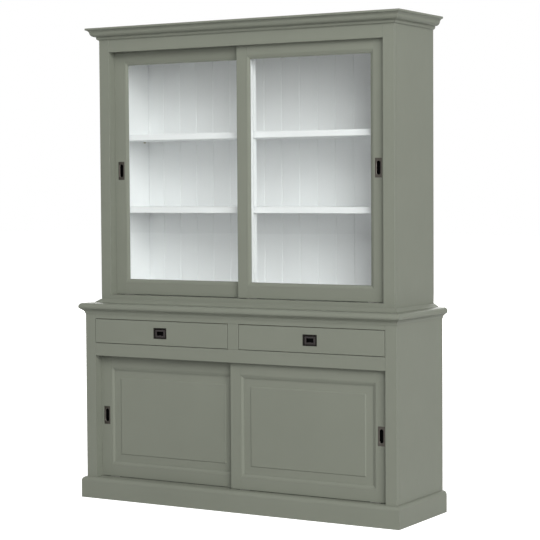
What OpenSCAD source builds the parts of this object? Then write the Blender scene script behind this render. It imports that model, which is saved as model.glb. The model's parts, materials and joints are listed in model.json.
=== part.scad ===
// Two-part china cabinet: a base with two drawers and two sliding panel doors,
// and a shallower hutch on its worktop with two sliding glass doors.
// Millimetres, Z up. The front faces -Y and +X is the viewer's right.
// The origin is on the floor, under the middle of the whole outline.

/* [Overall] */
// Height from the floor to the top of the cornice
overall_h = 2200; // [2100:10:2400]
// Height of the worktop's upper face
worktop_h = 917; // [880:1:960]
// Thickness of the face frames
frame_t = 22; // [18:1:28]
// Length of the tenons in the face frames
frame_tenon_l = 20; // [10:1:25]

/* [Base cabinet] */
// Width of the base across its sides
base_w = 1630; // [1400:10:1900]
// Depth of the base from its face frame to the wall
base_d = 455; // [420:5:520]
// Thickness of the base's side panels
base_side_t = 20; // [16:1:24]
// Width of the base's stiles
base_stile_w = 55; // [45:1:70]
// Width of the rail above the drawers
base_top_rail_w = 42; // [36:1:60]
// Width of the rail between the drawers and the doors
base_mid_rail_w = 59; // [50:1:80]
// Width of the upright between the drawers
mullion_w = 55; // [40:1:80]
// Height of the drawer openings
drawer_open_h = 115; // [100:1:140]
// Thickness of the bottom board
base_bottom_t = 20; // [16:1:24]
// Thickness of the plywood back
base_back_t = 8; // [6:1:10]
// Thickness of the board that carries the drawers
dust_board_t = 18; // [15:1:22]
// Thickness of the partition between the drawers
partition_t = 18; // [15:1:22]
// Height of the guide strips beside the drawers
guide_h = 30; // [15:1:60]
// Gap between a drawer's sides and the strips that keep it from tipping
kicker_gap = 2; // [1:0.5:4]
// How far those strips reach over a drawer's sides
kicker_reach = 20; // [12:1:30]

/* [Plinth] */
// Height of the plinth
plinth_h = 98; // [85:1:120]
// Thickness of the plinth boards
plinth_t = 20; // [16:1:24]
// Radius worked on the plinth's upper edge
plinth_r = 19; // [5:1:22]
// Thickness of the board that closes the plinth at the wall
plinth_back_t = 20; // [12:1:24]

/* [Worktop] */
// Thickness of the worktop
worktop_t = 30; // [28:1:36]
// How far the worktop stands out past the base
worktop_overhang = 25; // [20:1:40]
// Radius of the upper part of the worktop's nose
nose_top_r = 17; // [10:1:18]
// Height of the moulding under the worktop
bed_h = 21; // [20:1:26]
// How far the moulding under the worktop stands out
bed_proj = 15; // [12:1:16]
// Radius of the hollow in the moulding under the worktop
bed_cove_r = 20; // [12:1:40]

/* [Hutch] */
// How far the hutch's sides stand in from the base's sides
hutch_inset = 43; // [30:1:80]
// How far the hutch's face frame stands behind the base's
hutch_setback = 70; // [40:5:100]
// Thickness of the hutch's side panels
hutch_side_t = 18; // [16:1:24]
// Width of the hutch's stiles
hutch_stile_w = 55; // [45:1:70]
// Height of the hutch's bottom rail
hutch_sill_h = 36; // [32:1:50]
// Height of plain rail that shows under the cornice
hutch_frieze_h = 55; // [40:1:80]
// How far the hutch's floor rises above the sill, behind the doors' track
hutch_floor_rise = 6; // [2:1:12]
// Thickness of the hutch's bottom board
hutch_bottom_t = 18; // [15:1:20]
// Thickness of the hutch's top board
hutch_top_t = 18; // [15:1:24]
// Thickness of the back boards
back_board_t = 10; // [9:1:14]
// Width of the back boards, apart from the outer ones, which are cut to fit
back_board_w = 95; // [80:1:140]
// Width of the chamfer on each back board's edge
back_board_v = 3; // [1:0.5:3]
// Length of the tongue on each back board
back_tongue_l = 4; // [2:1:6]
// Thickness of that tongue
back_tongue_t = 3; // [2:0.5:3]
// Height of the moulding round the hutch's foot
foot_mould_h = 16; // [14:1:24]
// How far the moulding round the hutch's foot stands out
foot_mould_proj = 24; // [22:1:28]
// Diameter of the dowels that hold the hutch on the worktop
dowel_d = 8; // [6:1:10]
// How far a dowel goes into the hutch and into the worktop
dowel_reach = 18; // [12:1:22]
// Room past each end of a dowel
dowel_play = 1; // [0.5:0.5:3]
// Distance from the dowels to the front and back edges of the hutch's sides
dowel_inset = 60; // [30:5:120]

/* [Cornice] */
// Height of the cornice
cornice_h = 58; // [56:1:70]
// How far the cornice stands out past the hutch
cornice_proj = 48; // [47:1:56]
// Height of the flat band along the cornice's top
cornice_band_h = 9; // [6:1:10]
// Height of the hollow under that band
cornice_cove_h = 11; // [8:1:11]
// Width of that hollow
cornice_cove_w = 13; // [10:1:14]
// Radius of that hollow
cornice_cove_r = 20; // [14:1:40]
// Radius of the large round in the cornice's middle
cornice_round_r = 20; // [14:1:20]
// Radius of the small round at the cornice's foot
cornice_bead_r = 10; // [6:1:10]

/* [Shelves] */
// Height of the hutch's lower shelf above the sill
shelf_lower_rise = 384; // [300:1:450]
// Height of the hutch's upper shelf above the sill
shelf_upper_rise = 723; // [620:1:800]
// Thickness of the hutch's shelves
hutch_shelf_t = 28; // [18:1:32]
// How far the hutch's shelves stand back behind the doors' tracks
hutch_shelf_setback = 11; // [5:1:80]
// Width of the posts that carry the middle of the shelves
post_w = 44; // [30:1:70]
// Thickness of those posts
post_t = 22; // [16:1:30]
// How far the posts stand behind the shelves' front edge
post_setback = 7; // [5:1:40]
// Diameter of the shelf pins
shelf_pin_d = 6; // [5:1:8]
// Length of the shelf pins
shelf_pin_l = 19; // [16:1:24]
// Distance from a shelf's edges to the pins' middle
shelf_pin_inset = 40; // [25:1:80]
// Height of the base's shelf above its bottom board
base_shelf_rise = 292; // [200:1:400]
// Thickness of the base's shelf
base_shelf_t = 18; // [15:1:25]
// How far the base's shelf stands back behind the doors' tracks
base_shelf_setback = 13; // [5:1:120]
// Thickness and height of the battens under the base's shelf
batten_s = 20; // [15:1:25]
// How far the battens stop short of the shelf's front and sides
batten_inset = 15; // [5:1:40]

/* [Doors] */
// Thickness of the doors
door_t = 22; // [20:1:26]
// How far the two doors of a pair lap over each other
door_overlap = 58; // [30:2:80]
// Width of the stile on a door's outer side
outer_stile_w = 57; // [52:1:75]
// Width of the stile where two doors meet
meeting_stile_w = 52; // [45:1:65]
// Width of a door's bottom rail
bottom_rail_w = 55; // [45:1:80]
// Width of a glass door's top rail
glass_top_rail_w = 55; // [45:1:80]
// Width of a panel door's top rail
panel_top_rail_w = 66; // [50:1:90]
// How far a door reaches up behind the face frame
door_lap = 10; // [6:1:14]
// Width of the mouldings inside the doors' frames
bead_w = 16; // [14:1:20]
// Depth of those mouldings, and of the glass behind them
bead_d = 9; // [9:1:10]
// Thickness of the glass
glass_t = 4; // [3:1:4]
// Gap between the glass and its door's frame
glass_play = 0.5; // [0.2:0.1:1]
// Width of the beads behind the glass
rear_bead_w = 12; // [8:1:13]
// Width of the sloping border round a door panel
panel_bevel_w = 33; // [15:1:60]
// How far the panel's field lies behind the door's face
panel_field_set = 3; // [1:0.5:4]
// Height of the slope that lifts the panel's field
panel_step = 3; // [1:0.5:3]
// Width of that slope
panel_step_w = 4; // [2:0.5:12]
// Thickness of the panel's tongue
panel_tongue_t = 7; // [5:1:8]
// Depth of the groove that holds the panel's tongue
panel_groove_d = 9; // [6:1:12]
// Gap between the tongue's tip and the bottom of its groove
panel_play = 1; // [0.5:0.5:2]
// Length of the tenons on the doors' rails
tenon_l = 35; // [20:1:40]
// Thickness of the tenons
tenon_t = 8; // [6:1:9]
// How far the tenons are cut back from the rails' edges
tenon_inset = 10; // [5:1:15]

/* [Door tracks] */
// Thickness of the base's bottom track strip
track_t = 10; // [8:1:12]
// Depth of the track grooves
groove_d = 6; // [4:1:6]
// Depth of the grooves in the head tracks
head_groove_d = 12; // [8:1:16]
// Width of the track grooves
groove_w = 8; // [6:1:10]
// Height of the head tracks
head_h = 29; // [22:1:40]
// Gap under the doors
door_foot_gap = 3; // [3:0.5:8]
// Gap between the doors and the head tracks
door_head_gap = 2; // [1:0.5:4]
// Length of the nylon glides
glide_l = 50; // [20:1:80]
// Distance from a door's edge to its glides
glide_inset = 40; // [5:1:100]
// Play of a glide across its groove
glide_play = 1; // [0.5:0.1:2]

/* [Door pulls] */
// Width of a door pull's plate
pull_plate_w = 34; // [28:1:40]
// Height of a door pull's plate
pull_plate_h = 85; // [70:1:120]
// Thickness of all pull plates
pull_plate_t = 1.5; // [1:0.5:2]
// Corner radius of a door pull's plate
pull_plate_r = 2; // [1:0.5:6]
// Width of a door pull's finger recess
pull_recess_w = 18; // [14:1:22]
// Height of a door pull's finger recess
pull_recess_h = 60; // [50:1:66]
// Depth of a door pull's finger recess
pull_recess_d = 11; // [8:1:13]
// Wall of all pull cups
cup_wall = 1.5; // [1:0.5:2]
// Width of the chamfer round a door pull's finger recess
pull_lip = 2; // [0.5:0.5:3]
// Distance from a glass door's outer edge to its pull's middle
glass_pull_inset = 33; // [20:1:39]
// Height of a glass door's pull above the door's middle
glass_pull_rise = 8; // [-300:1:300]
// Distance from a panel door's outer edge to its pull's middle
panel_pull_inset = 30; // [20:1:33]
// Height of a panel door's pull above the door's middle
panel_pull_rise = -4; // [-150:1:150]

/* [Drawers] */
// Thickness of a drawer's front
drawer_front_t = 20; // [18:1:24]
// Thickness of a drawer's sides and back
drawer_side_t = 12; // [10:1:15]
// Height of a drawer's sides
drawer_side_h = 90; // [60:1:95]
// Gap between a closed drawer and the base's back
drawer_back_gap = 42; // [10:1:150]
// Thickness of a drawer's bottom
drawer_bottom_t = 6; // [4:1:8]
// Height of a drawer's bottom above its sides' lower edge
drawer_bottom_rise = 10; // [6:1:15]
// Depth of the grooves and housings in a drawer
drawer_housing_d = 6; // [4:1:7]
// Play of a drawer's bottom in its grooves
drawer_bottom_play = 0.5; // [0.3:0.1:1]

/* [Drawer pulls] */
// Width of a drawer pull's plate
ring_plate_w = 70; // [64:1:90]
// Height of a drawer pull's plate
ring_plate_h = 50; // [46:1:60]
// Corner radius of a drawer pull's plate
ring_plate_r = 2; // [1:0.5:6]
// Width of the recess that the ring lies in
ring_recess_w = 56; // [54:1:60]
// Height of the recess that the ring lies in
ring_recess_h = 39; // [37:1:42]
// Depth of the recess behind the drawer's face
ring_recess_d = 10; // [8:1:12]
// Width of the ring
ring_w = 53; // [44:1:53]
// Height of the ring
ring_h = 34; // [28:1:34]
// Width of the ring's sides
ring_side = 8; // [5:1:9]
// Width of the ring's upper and lower bars
ring_bar = 7; // [4:1:8]
// Radius of the ring's outer corners
ring_outer_r = 3; // [1:0.5:5]
// Radius of the ring's inner corners
ring_inner_r = 2; // [0.5:0.5:4]
// How far the ring's lower bar swells upward in its middle
ring_swell = 2; // [0:0.5:4]
// Thickness of the ring
ring_t = 3.5; // [2.5:0.5:4]
// How far the ring lies behind the drawer's face
ring_set = 0.3; // [0.1:0.1:2]
// Gap under the ring when it hangs in its recess
ring_foot_gap = 1.5; // [1:0.5:2.5]
// Diameter of the ring's pivots
ring_pin_d = 3; // [2:0.5:3]

/* [Clearances] */
// Gap before, between and behind the sliding doors
slide_gap = 1; // [0.5:0.1:1.5]
// Gap between a closed door and its jamb
door_end_gap = 0.5; // [0.3:0.1:2]
// Gap round a drawer's front
drawer_gap = 2.5; // [1.5:0.1:3]
// Gap between a drawer's sides and its guides
drawer_side_gap = 1; // [0.5:0.1:2]
// Gap under what slides on a runner or in a track
rest_gap = 0.3; // [0.2:0.1:0.5]
// Gap round let-in pieces, tongues and tenons
joint_gap = 0.2; // [0.1:0.1:0.3]
// Hairline between pieces that are glued edge to edge
seam = 0.2; // [0.1:0.1:0.5]
// Gap round the ring's pivots
pin_gap = 0.05; // [0.02:0.01:0.1]

/* [Hidden] */
$fn = 48;
eps = 0.01;

paint = [0.50, 0.51, 0.46];
white = [0.93, 0.93, 0.92];
timber = [0.80, 0.70, 0.54];
bronze = [0.20, 0.17, 0.15];
glass_tint = [0.80, 0.88, 0.88, 0.35];
nylon = [0.90, 0.90, 0.86];
brass = [0.72, 0.60, 0.33];

// Outline of the whole cabinet, whose middle is the origin
back_y = (base_d + worktop_overhang) / 2;
base_y = back_y - base_d;
hutch_y = base_y + hutch_setback;

// Base, from the floor up
base_x = base_w / 2;
base_in_x = base_x - base_side_t;
base_open_x = base_x - base_stile_w;
worktop_z = worktop_h - worktop_t;
drawer_z1 = worktop_z - base_top_rail_w;
drawer_z0 = drawer_z1 - drawer_open_h;
panel_open_z1 = drawer_z0 - base_mid_rail_w;
base_floor_z = plinth_h - track_t;
base_in_y0 = base_y + frame_t;
base_in_y1 = back_y - base_back_t;
base_shelf_z = base_floor_z + base_shelf_rise;

// Hutch, from the worktop up
hutch_x = base_x - hutch_inset;
hutch_in_x = hutch_x - hutch_side_t;
hutch_open_x = hutch_x - hutch_stile_w;
sill_z = worktop_h + hutch_sill_h;
hutch_floor_z = sill_z + hutch_floor_rise;
hutch_roof_z = overall_h - hutch_top_t;
cornice_z = overall_h - cornice_h;
glass_open_z1 = cornice_z - hutch_frieze_h;
hutch_in_y0 = hutch_y + frame_t;
hutch_in_y1 = back_y - back_board_t;
shelf_lower_z = sill_z + shelf_lower_rise;
shelf_upper_z = sill_z + shelf_upper_rise;

// Doors: the right one of each pair runs in front of the left one
track_d = 2 * door_t + 3 * slide_gap;
hutch_shelf_y = hutch_in_y0 + track_d + hutch_shelf_setback;
base_shelf_y = base_in_y0 + track_d + base_shelf_setback;
post_y = hutch_shelf_y + post_setback;
front_run = frame_t + slide_gap;
rear_run = front_run + door_t + slide_gap;
glass_door_w = hutch_open_x + door_overlap / 2 - door_end_gap;
glass_door_z0 = sill_z + door_foot_gap;
glass_door_z1 = glass_open_z1 + door_lap;
glass_head_z = glass_door_z1 + door_head_gap;
panel_door_w = base_open_x + door_overlap / 2 - door_end_gap;
panel_door_z0 = plinth_h + door_foot_gap;
panel_door_z1 = panel_open_z1 + door_lap;
panel_head_z = panel_door_z1 + door_head_gap;
dust_z = drawer_z0 - dust_board_t;
glass_pull_z = (glass_door_z0 + glass_door_z1) / 2 + glass_pull_rise;
panel_pull_z = (panel_door_z0 + panel_door_z1) / 2 + panel_pull_rise;

// Drawers, measured from the left one's outer edge
drawer_open_w = base_open_x - mullion_w / 2;
drawer_w = drawer_open_w - 2 * drawer_gap;
drawer_front_z0 = drawer_z0 + drawer_gap;
drawer_front_h = drawer_open_h - 2 * drawer_gap;
drawer_box_z0 = drawer_z0 + rest_gap;
drawer_end_y = base_in_y1 - drawer_back_gap - base_y;
box_inset = drawer_gap - drawer_side_gap;
ring_y = ring_set + ring_t / 2;
ring_mid_z = ring_foot_gap - (ring_recess_h - ring_h) / 2;
ring_z = ring_mid_z + (ring_h - ring_bar) / 2;

// Shapes that repeat

// A board between two corners
module board(low, high) {
    translate(low) cube(high - low);
}

// A rail or board with a tongue that runs through it and out at both ends
module tongued(x1, y0, z0, z1) {
    board([-x1, y0, z0], [x1, y0 + frame_t, z1]);
    long_tongue(x1, y0, z0, z1, 0);
}

// The tongue alone, grown by a gap where it is taken away as a mortise
module long_tongue(x1, y0, z0, z1, grow) {
    reach = x1 + frame_tenon_l + grow;
    front = y0 + (frame_t - tenon_t) / 2;
    board([-reach, front - grow, z0 + tenon_inset - grow],
          [reach, front + tenon_t + grow, z1 - tenon_inset + grow]);
}

// The same pieces on the left and on the right
module both_sides() {
    children();
    mirror([1, 0, 0]) children();
}

// A flat outline, drawn outward and up, drawn out along X as far as x1 each way
module along_front(x1) {
    rotate([90, 0, -90]) linear_extrude(2 * x1, center = true) children();
}

// A flat outline, drawn across and in, drawn out along X from 0 to length
module along_x(length) {
    translate([length, 0, 0]) rotate([0, -90, 0]) linear_extrude(length) children();
}

// A flat outline in the door's plane, drawn out from the face to a depth
module into_door(depth) {
    translate([0, depth, 0]) rotate([90, 0, 0]) linear_extrude(depth) children();
}

// Three mitred lengths of a moulding round a carcass: the front and two sides.
// The outline starts at the carcass's face and is drawn outward and up.
module wrap(half_w, y0, y1, proj, height, z0) {
    translate([0, y0, z0]) {
        intersection() {
            along_front(half_w + proj) children();
            linear_extrude(height) polygon([
                [-half_w, 0], [half_w, 0],
                [half_w + proj, -proj], [-half_w - proj, -proj]
            ]);
        }
        both_sides() intersection() {
            translate([half_w, y1 - y0, 0])
                rotate([90, 0, 0]) linear_extrude(y1 - y0 + proj) children();
            linear_extrude(height) polygon([
                [half_w, seam], [half_w + proj, seam - proj],
                [half_w + proj, y1 - y0], [half_w, y1 - y0]
            ]);
        }
    }
}

// A quarter of a disc in the quadrant that sx and sy name
module quarter(r, sx, sy) {
    intersection() {
        circle(r);
        translate([sx > 0 ? 0 : -r, sy > 0 ? 0 : -r]) square(r);
    }
}

// Four mitred lengths of a moulding inside a door's frame.
// The outline is drawn from the frame's edge inward and from the face back.
module mitred(w, h, run, depth) {
    for (flip = [0, 1]) {
        translate([0, 0, flip * h]) mirror([0, 0, flip]) intersection() {
            along_x(w) children();
            into_door(depth) polygon([[0, 0], [w, 0], [w - run, run], [run, run]]);
        }
        translate([flip * w, 0, 0]) mirror([flip, 0, 0]) intersection() {
            linear_extrude(h) children();
            into_door(depth) polygon([
                [0, seam], [run, run + seam], [run, h - run - seam], [0, h - seam]
            ]);
        }
    }
}

// A rectangle with round corners, about its middle
module rounded(w, h, r) {
    square([w - 2 * r, h], center = true);
    square([w, h - 2 * r], center = true);
    for (x = [-1, 1], y = [-1, 1])
        translate([x * (w / 2 - r), y * (h / 2 - r)]) circle(r);
}

// A w by h rectangle whose lower outer half is cut away by a circle of radius r.
// The circle passes through the two corners beside the one that goes.
module hollowed(w, h, r) {
    chord = norm([w, h]);
    reach = sqrt(pow(r, 2) - pow(chord / 2, 2)) / chord;
    difference() {
        square([w, h]);
        translate([w / 2 + h * reach, h / 2 - w * reach]) circle(r);
    }
}

// Outlines of the mouldings

module cornice_outline() {
    lip_r = 2;
    fillet_h = 5;
    foot_t = 1;
    round_z = cornice_h - cornice_band_h - cornice_cove_h;
    round_x = cornice_proj - lip_r - cornice_cove_w - cornice_round_r;
    bead_z = round_z - cornice_round_r - fillet_h;
    // Flat band with a softened lower corner
    translate([0, cornice_h - cornice_band_h + lip_r])
        square([cornice_proj, cornice_band_h - lip_r]);
    translate([0, cornice_h - cornice_band_h]) square([cornice_proj - lip_r, lip_r + eps]);
    translate([cornice_proj - lip_r, cornice_h - cornice_band_h + lip_r]) circle(lip_r);
    // Hollow
    translate([0, round_z]) square([round_x + cornice_round_r, cornice_cove_h]);
    translate([round_x + cornice_round_r, round_z])
        hollowed(cornice_cove_w, cornice_cove_h, cornice_cove_r);
    // Large round
    translate([0, round_z - cornice_round_r]) square([round_x, cornice_round_r + eps]);
    translate([round_x, round_z]) quarter(cornice_round_r, 1, -1);
    // Fillet and small round at the foot
    translate([0, bead_z]) square([cornice_bead_r, fillet_h + eps]);
    translate([0, bead_z]) quarter(cornice_bead_r, 1, -1);
    square([foot_t, bead_z]);
}

module plinth_outline() {
    flat = 1;
    r = min(plinth_r, plinth_t - flat);
    square([plinth_t, plinth_h - r]);
    square([plinth_t - r, plinth_h]);
    translate([plinth_t - r, plinth_h - r]) quarter(r, 1, 1);
}

// A hollow between a thin band at the top and a small square foot
module bed_outline() {
    band_h = 2;
    band_lip = 1;
    foot = 2;
    translate([0, bed_h - band_h]) square([bed_proj, band_h]);
    square([foot, bed_h]);
    translate([foot, foot])
        hollowed(bed_proj - band_lip - foot, bed_h - band_h - foot, bed_cove_r);
}

// A slope, from a low toe to a narrow flat at the moulding's top
module foot_mould_outline() {
    flat = 3;
    toe_h = 1.5;
    polygon([
        [0, 0], [foot_mould_proj, 0], [foot_mould_proj, toe_h],
        [flat, foot_mould_h], [0, foot_mould_h]
    ]);
}

// A narrow flat a little behind the door's face, a slack round that falls away
// from it, and a lip below a small step. The round's middle lies behind both.
module bead_outline() {
    set = 1.5;
    flat = 1.5;
    lip_w = 3.5;
    lip_t = 1.5;
    step = 1.5;
    half_turn = 11;
    run = bead_w - lip_w - flat;
    fall = bead_d - lip_t - step - set;
    r = norm([run, fall]) / (2 * sin(half_turn));
    start = atan2(fall, run) - half_turn;
    intersection() {
        translate([0, set]) square([bead_w - lip_w, bead_d - set]);
        union() {
            square([flat + eps, bead_d]);
            translate([flat - r * sin(start), set + r * cos(start)]) circle(r, $fn = 192);
        }
    }
    translate([0, bead_d - lip_t]) square([bead_w, lip_t]);
}

// A square bead with one chamfered edge, a little short of the door's back
module rear_bead_outline() {
    set = 1;
    soft = 3;
    back = door_t - set;
    polygon([
        [0, bead_d + glass_t], [rear_bead_w, bead_d + glass_t],
        [rear_bead_w, back - soft], [rear_bead_w - soft, back], [0, back]
    ]);
}

// Base cabinet

module base_side() {
    board([base_in_x, base_in_y0, 0], [base_x, back_y, worktop_z]);
}

module base_side_left() {
    color(paint) mirror([1, 0, 0]) base_side();
}

module base_side_right() {
    color(paint) base_side();
}

module base_bottom() {
    color(timber) board(
        [-base_in_x, base_in_y0, base_floor_z - base_bottom_t],
        [base_in_x, base_in_y1, base_floor_z]
    );
}

module base_back() {
    color(timber) board(
        [-base_in_x, base_in_y1, base_floor_z - base_bottom_t],
        [base_in_x, back_y, worktop_z]
    );
}

// Two stiles and their rails, tenoned together, and the jambs behind the stiles
// that the doors close against. Each rail is given as its lower and upper edge.
module frame_round(half_w, open_x, in_x, y0, z0, z1, rails, jamb_z0, jamb_z1) {
    both_sides() {
        difference() {
            board([open_x, y0, z0], [half_w, y0 + frame_t, z1]);
            for (rail = rails)
                long_tongue(open_x - seam, y0, rail[0], rail[1], joint_gap);
        }
        board([open_x, y0 + frame_t + seam, jamb_z0],
              [in_x, y0 + frame_t + track_d, jamb_z1]);
    }
}

// The tenon at each end of the upright between the drawers, as one long tongue
module mullion_tongue(grow) {
    half_w = mullion_w / 2 - tenon_inset;
    front = base_y + (frame_t - tenon_t) / 2;
    board([-half_w - grow, front - grow, drawer_z0 - frame_tenon_l - grow],
          [half_w + grow, front + tenon_t + grow, drawer_z1 + frame_tenon_l + grow]);
}

module base_face_frame() {
    rails = [[0, plinth_h], [panel_open_z1, drawer_z0], [drawer_z1, worktop_z]];
    color(paint) {
        frame_round(base_x, base_open_x, base_in_x, base_y, 0, worktop_z, rails,
                    plinth_h, panel_head_z);
        difference() {
            for (rail = rails) tongued(base_open_x - seam, base_y, rail[0], rail[1]);
            mullion_tongue(joint_gap);
        }
        board([-mullion_w / 2, base_y, drawer_z0 + seam],
              [mullion_w / 2, base_in_y0, drawer_z1 - seam]);
        mullion_tongue(0);
    }
}

module base_partition() {
    color(timber) board(
        [-partition_t / 2, base_in_y0, drawer_z0],
        [partition_t / 2, base_in_y1, worktop_z]
    );
}

module base_dust_board() {
    color(timber) board([-base_in_x, base_in_y0, dust_z], [base_in_x, base_in_y1, drawer_z0]);
}

// Strips beside each drawer that guide it, and strips above its sides that keep
// it level when it is drawn out
module drawer_guides() {
    kicker_z = drawer_box_z0 + drawer_side_h + kicker_gap;
    reach = box_inset - drawer_gap - kicker_reach;
    color(timber) both_sides() {
        board([partition_t / 2, base_in_y0, drawer_z0],
              [mullion_w / 2, base_in_y1, drawer_z0 + guide_h]);
        board([base_open_x, base_in_y0, drawer_z0],
              [base_in_x, base_in_y1, drawer_z0 + guide_h]);
        board([partition_t / 2, base_in_y0, kicker_z],
              [mullion_w / 2 - reach, base_in_y1, drawer_z1]);
        board([base_open_x + reach, base_in_y0, kicker_z],
              [base_in_x, base_in_y1, drawer_z1]);
    }
}

module base_shelf() {
    color(white) board(
        [-base_in_x + joint_gap, base_shelf_y, base_shelf_z],
        [base_in_x - joint_gap, base_in_y1, base_shelf_z + base_shelf_t]
    );
}

// A bottom strip with two grooves, and a head with two grooves above the doors
module tracks(half_w, y0, foot, sill, head, head_top) {
    groove_l = 2 * (half_w + eps);
    color(timber) {
        difference() {
            board([-half_w, y0, foot], [half_w, y0 + track_d, sill]);
            for (run = [0, 1])
                translate([-groove_l / 2, groove_y(y0, run), sill - groove_d])
                    cube([groove_l, groove_w, groove_d + eps]);
        }
        difference() {
            board([-half_w, y0, head], [half_w, y0 + track_d, head_top]);
            for (run = [0, 1])
                translate([-groove_l / 2, groove_y(y0, run), head - eps])
                    cube([groove_l, groove_w, head_groove_d + eps]);
        }
    }
}

// Front edge of a track groove: run 0 is the front door's and run 1 the rear's
function groove_y(y0, run) =
    y0 + slide_gap + run * (door_t + slide_gap) + (door_t - groove_w) / 2;

module lower_door_tracks() {
    tracks(base_in_x, base_in_y0, base_floor_z, plinth_h, panel_head_z, dust_z);
}

module plinth() {
    color(paint) {
        wrap(base_x, base_y, back_y, plinth_t, plinth_h, 0) plinth_outline();
        board([-base_in_x, back_y - plinth_back_t, 0],
              [base_in_x, back_y, base_floor_z - base_bottom_t]);
    }
}

// A board whose front and ends are worked to a nose. The outline runs across
// the board, from far behind its edge to the nose's tip at 0.
module nose_outline(run) {
    low_r = worktop_t - nose_top_r;
    translate([-run, low_r]) square([run - nose_top_r, nose_top_r]);
    translate([-nose_top_r, low_r]) quarter(nose_top_r, 1, 1);
    translate([-run, 0]) square([run - low_r, low_r + eps]);
    translate([-low_r, low_r]) quarter(low_r, 1, -1);
}

module worktop() {
    half_w = base_x + worktop_overhang;
    depth = base_d + worktop_overhang;
    color(paint) difference() {
        intersection() {
            translate([0, base_y - worktop_overhang, worktop_z])
                along_front(half_w) nose_outline(depth);
            translate([0, back_y, worktop_z])
                rotate([90, 0, 0]) linear_extrude(depth) {
                    translate([half_w, 0]) nose_outline(half_w + eps);
                    mirror([1, 0]) translate([half_w, 0]) nose_outline(half_w + eps);
                }
        }
        dowel_bores();
    }
}

module bed_moulding() {
    color(paint)
        wrap(base_x, base_y, back_y, bed_proj, bed_h, worktop_z - bed_h) bed_outline();
}

// Hutch

// Where the dowels stand under the hutch's sides
module dowel_places() {
    for (y = [hutch_in_y0 + dowel_inset, back_y - dowel_inset])
        both_sides() translate([hutch_x - hutch_side_t / 2, y, worktop_h]) children();
}

// The room that the dowels need in the worktop and in the hutch's sides
module dowel_bores() {
    reach = dowel_reach + dowel_play;
    dowel_places() translate([0, 0, -reach]) cylinder(d = dowel_d + joint_gap, h = 2 * reach);
}

// Where the pins stand under a hutch shelf, on the right-hand side
module pin_places() {
    for (z = [shelf_lower_z, shelf_upper_z])
        for (y = [hutch_shelf_y + shelf_pin_inset, hutch_in_y1 - shelf_pin_inset])
            translate([hutch_in_x, y, z - shelf_pin_d / 2]) children();
}

module hutch_side() {
    pin_bore = shelf_pin_l / 2;
    difference() {
        board([hutch_in_x, hutch_in_y0, worktop_h], [hutch_x, back_y, hutch_roof_z]);
        dowel_bores();
        pin_places() translate([-eps, 0, 0]) rotate([0, 90, 0])
            cylinder(d = shelf_pin_d + joint_gap, h = pin_bore + eps);
    }
}

module hutch_side_left() {
    color(paint) mirror([1, 0, 0]) hutch_side();
}

module hutch_side_right() {
    color(paint) hutch_side();
}

module hutch_top() {
    color(paint) board([-hutch_x, hutch_y, hutch_roof_z], [hutch_x, back_y, overall_h]);
}

module hutch_bottom() {
    color(white) board(
        [-hutch_in_x, hutch_in_y0 + track_d, hutch_floor_z - hutch_bottom_t],
        [hutch_in_x, hutch_in_y1, hutch_floor_z]
    );
}

// One back board in plan, from its grooved edge to its tongued one
module back_board_outline(w) {
    v = back_board_v;
    tongue_y = (back_board_t + v - back_tongue_t) / 2;
    difference() {
        polygon([
            [0, v], [v, 0], [w - v, 0], [w, v], [w, back_board_t], [0, back_board_t]
        ]);
        translate([-eps, tongue_y - joint_gap])
            square([back_tongue_l + joint_gap, back_tongue_t + 2 * joint_gap]);
    }
    translate([w - eps, tongue_y]) square([back_tongue_l, back_tongue_t]);
}

// Upright tongued boards with chamfered edges, which meet in a row of V grooves
module hutch_back_boards() {
    half = round(hutch_in_x / back_board_w);
    edges = [
        -hutch_in_x, for (i = [1 - half : half - 1]) i * back_board_w, hutch_in_x
    ];
    z0 = hutch_floor_z - hutch_bottom_t;
    color(white) for (i = [0 : 2 * half - 1])
        translate([edges[i], hutch_in_y1, z0])
            linear_extrude(hutch_roof_z - z0) intersection() {
                back_board_outline(edges[i + 1] - edges[i] - seam);
                square([hutch_in_x - edges[i], back_board_t]);
            }
}

module hutch_face_frame() {
    rails = [[worktop_h, sill_z], [glass_open_z1, hutch_roof_z]];
    color(paint) {
        frame_round(hutch_x, hutch_open_x, hutch_in_x, hutch_y, worktop_h, hutch_roof_z,
                    rails, sill_z, glass_head_z);
        for (rail = rails) tongued(hutch_open_x - seam, hutch_y, rail[0], rail[1]);
    }
}

module hutch_shelf(z) {
    color(white) board([-hutch_in_x + joint_gap, hutch_shelf_y, z],
                       [hutch_in_x - joint_gap, hutch_in_y1, z + hutch_shelf_t]);
}

module hutch_shelf_lower() {
    hutch_shelf(shelf_lower_z);
}

module hutch_shelf_upper() {
    hutch_shelf(shelf_upper_z);
}

// Short posts under the middle of each shelf and of the roof
module centre_posts() {
    floors = [hutch_floor_z, shelf_lower_z + hutch_shelf_t, shelf_upper_z + hutch_shelf_t];
    roofs = [shelf_lower_z, shelf_upper_z, hutch_roof_z];
    color(white) for (i = [0 : 2])
        board([-post_w / 2, post_y, floors[i]], [post_w / 2, post_y + post_t, roofs[i]]);
}

// Pins for the hutch's shelves, with half their play above them, and battens for
// the base's shelf
module shelf_supports() {
    in_side = shelf_pin_l / 2 - joint_gap;
    color(brass) both_sides() pin_places()
        translate([in_side, 0, -joint_gap / 4]) rotate([0, -90, 0])
            cylinder(d = shelf_pin_d, h = shelf_pin_l);
    color(timber) {
        both_sides() board(
            [base_in_x - batten_s, base_shelf_y + batten_inset, base_shelf_z - batten_s],
            [base_in_x, base_in_y1 - batten_s - seam, base_shelf_z]
        );
        board(
            [-base_in_x + batten_inset, base_in_y1 - batten_s, base_shelf_z - batten_s],
            [base_in_x - batten_inset, base_in_y1, base_shelf_z]
        );
    }
}

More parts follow.
